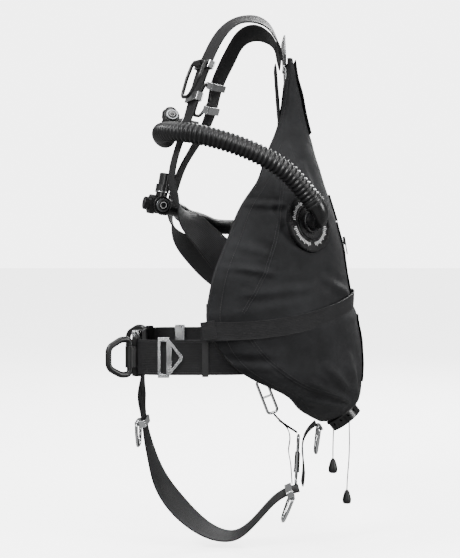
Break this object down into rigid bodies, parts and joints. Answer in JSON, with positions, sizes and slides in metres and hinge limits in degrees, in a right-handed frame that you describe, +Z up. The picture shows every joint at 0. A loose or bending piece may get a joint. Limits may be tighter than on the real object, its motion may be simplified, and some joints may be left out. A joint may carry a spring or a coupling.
{
  "type": "buoyancy compensator vest",
  "caption": "Sidemount buoyancy vest: two-cell wing on a steel and webbing harness, two corrugated inflator hoses, dump valves, hinged rings and a crotch strap.",
  "frame": {"origin": "on the face of the back pad that rests against the wearer's back, on the middle line, at mount back_rest", "axes": "+X out of the wearer's back, -Y to the wearer's left, +Z up"},
  "size_m": [0.38, 0.4129, 0.8054],
  "materials": {
    "cordura": "coated woven nylon",
    "webbing": "ribbed nylon webbing",
    "tape": "woven zipper tape",
    "pad_cloth": "padded mesh cloth",
    "steel": "electropolished stainless",
    "coated_ring": "satin black coating",
    "hose_rubber": "glossy corrugated",
    "gloss_plastic": "glossy",
    "button_steel": "brushed",
    "matte_plastic": "matte",
    "cord": "braided cord"
  },
  "bodies": {
    "harness": {"back_cover_straps": "webbing", "back_pad": "pad_cloth", "belt_keeper_loops": "webbing", "belt_ring_mounts": "coated_ring", "belt_triangle_slides": "steel", "bolt_snap_body": "steel", "buckle_frame": "steel", "crotch_slides": "steel", "crotch_strap": "webbing", "dump_spring_left": "steel", "dump_spring_right": "steel", "dump_valve_body_left": "matte_plastic", "dump_valve_body_right": "matte_plastic", "dump_valve_cap_left": "gloss_plastic", "dump_valve_cap_right": "gloss_plastic", "inflator_body_primary": "gloss_plastic", "inflator_body_redundant": "gloss_plastic", "inflator_hose_primary": "hose_rubber", "inflator_hose_redundant": "hose_rubber", "link_frame": "steel", "link_straps": "webbing", "lumbar_plate": "steel", "mouthpieces": "hose_rubber", "plate_screws": "steel", "port_elbows": "gloss_plastic", "port_flanges": "gloss_plastic", "shoulder_plate": "steel", "shoulder_ring_keepers": "coated_ring", "shoulder_slides": "steel", "shoulder_strap_left": "webbing", "shoulder_strap_right": "webbing", "spine_strap": "webbing", "tail_strap": "webbing", "waist_belt": "webbing", "wing_band": "webbing", "wing_outer_shell": "cordura", "zipper_slider": "matte_plastic", "zipper_tapes": "tape"},
    "shoulder_ring_left": {"shoulder_d_ring_left": "coated_ring"},
    "shoulder_ring_right": {"shoulder_d_ring_right": "coated_ring"},
    "belt_ring_left": {"belt_d_ring_left": "coated_ring"},
    "belt_ring_right": {"belt_d_ring_right": "coated_ring"},
    "buckle_lever": {"buckle_lever": "steel"},
    "crotch_front_ring": {"crotch_front_d_ring": "steel"},
    "crotch_rear_ring": {"crotch_rear_d_ring": "steel"},
    "tail_ring": {"tail_d_ring": "steel"},
    "inflate_primary": {"inflate_button_primary": "button_steel"},
    "inflate_redundant": {"inflate_button_redundant": "button_steel"},
    "deflate_primary": {"deflate_button_primary": "gloss_plastic"},
    "deflate_redundant": {"deflate_button_redundant": "gloss_plastic"},
    "poppet_left": {"dump_poppet_left": "matte_plastic"},
    "poppet_right": {"dump_poppet_right": "matte_plastic"},
    "pull_left": {"pull_cord_left": "cord", "pull_toggle_left": "matte_plastic"},
    "pull_right": {"pull_cord_right": "cord", "pull_toggle_right": "matte_plastic"},
    "snap_gate": {"bolt_snap_gate": "steel"}
  },
  "joints": [
    {"name": "shoulder_ring_left_swing", "type": "hinge", "parent": "harness", "child": "shoulder_ring_left", "pos_m": [-0.13343, -0.09521, 0.23776], "axis": [-0.3846, 0.9219, 0.0466], "range_deg": [0, 60]},
    {"name": "shoulder_ring_right_swing", "type": "hinge", "parent": "harness", "child": "shoulder_ring_right", "pos_m": [-0.11872, 0.09437, 0.22741], "axis": [0.3688, 0.9291, 0.0259], "range_deg": [-4, 60]},
    {"name": "belt_ring_left_swing", "type": "hinge", "parent": "harness", "child": "belt_ring_left", "pos_m": [-0.23068, -0.15336, -0.18598], "axis": [0, 0.0262, 0.9997], "range_deg": [-60, 60]},
    {"name": "belt_ring_right_swing", "type": "hinge", "parent": "harness", "child": "belt_ring_right", "pos_m": [-0.23068, 0.12837, -0.19336], "axis": [0, 0.0262, 0.9997], "range_deg": [-60, 60]},
    {"name": "buckle_lever_swing", "type": "hinge", "parent": "harness", "child": "buckle_lever", "pos_m": [-0.2336, -0.03399, -0.18911], "axis": [0, 0.0262, 0.9997], "range_deg": [0, 80]},
    {"name": "crotch_front_ring_swing", "type": "hinge", "parent": "harness", "child": "crotch_front_ring", "pos_m": [-0.23123, 0.00049, -0.30548], "axis": [0.0493, 0.9988, 0.0075], "range_deg": [-8, 30]},
    {"name": "crotch_rear_ring_swing", "type": "hinge", "parent": "harness", "child": "crotch_rear_ring", "pos_m": [0.00898, 0, -0.42251], "axis": [0, 1, 0], "range_deg": [-30, 32]},
    {"name": "tail_ring_swing", "type": "hinge", "parent": "harness", "child": "tail_ring", "pos_m": [0.0505, 0, -0.313], "axis": [0, 1, 0], "range_deg": [-40, 11]},
    {"name": "inflate_primary_press", "type": "slide", "parent": "harness", "child": "inflate_primary", "axis": [-0.2533, 0.8134, -0.5237], "range_m": [0, 0.003], "stiffness_N_per_m": 800},
    {"name": "inflate_redundant_press", "type": "slide", "parent": "harness", "child": "inflate_redundant", "axis": [-0.3169, 0.9484, -0.0043], "range_m": [0, 0.003], "stiffness_N_per_m": 800},
    {"name": "deflate_primary_press", "type": "slide", "parent": "harness", "child": "deflate_primary", "axis": [-0.0502, -0.5517, -0.8325], "range_m": [0, 0.003], "stiffness_N_per_m": 800},
    {"name": "deflate_redundant_press", "type": "slide", "parent": "harness", "child": "deflate_redundant", "axis": [0.9347, 0.3116, -0.1709], "range_m": [0, 0.003], "stiffness_N_per_m": 800},
    {"name": "pull_left_draw", "type": "slide", "parent": "harness", "child": "pull_left", "axis": [0, 0, -1], "range_m": [0, 0.0035], "stiffness_N_per_m": 600},
    {"name": "pull_right_draw", "type": "slide", "parent": "harness", "child": "pull_right", "axis": [0, 0, -1], "range_m": [0, 0.0035], "stiffness_N_per_m": 600},
    {"name": "poppet_left_lift", "type": "slide", "parent": "harness", "child": "poppet_left", "axis": [0.6112, 0, -0.7915], "range_m": [0, 0.00245], "stiffness_N_per_m": 700, "deforming": ["dump_spring_left"]},
    {"name": "poppet_right_lift", "type": "slide", "parent": "harness", "child": "poppet_right", "axis": [0.6112, 0, -0.7915], "range_m": [0, 0.00245], "stiffness_N_per_m": 700, "deforming": ["dump_spring_right"]},
    {"name": "snap_gate_slide", "type": "slide", "parent": "harness", "child": "snap_gate", "axis": [-0.0591, 0, -0.9983], "range_m": [0, 0.012], "stiffness_N_per_m": 150}
  ],
  "couplings": [
    {"joint": "poppet_left_lift", "follows": "pull_left_draw", "ratio": 0.7},
    {"joint": "poppet_right_lift", "follows": "pull_right_draw", "ratio": 0.7}
  ]
}
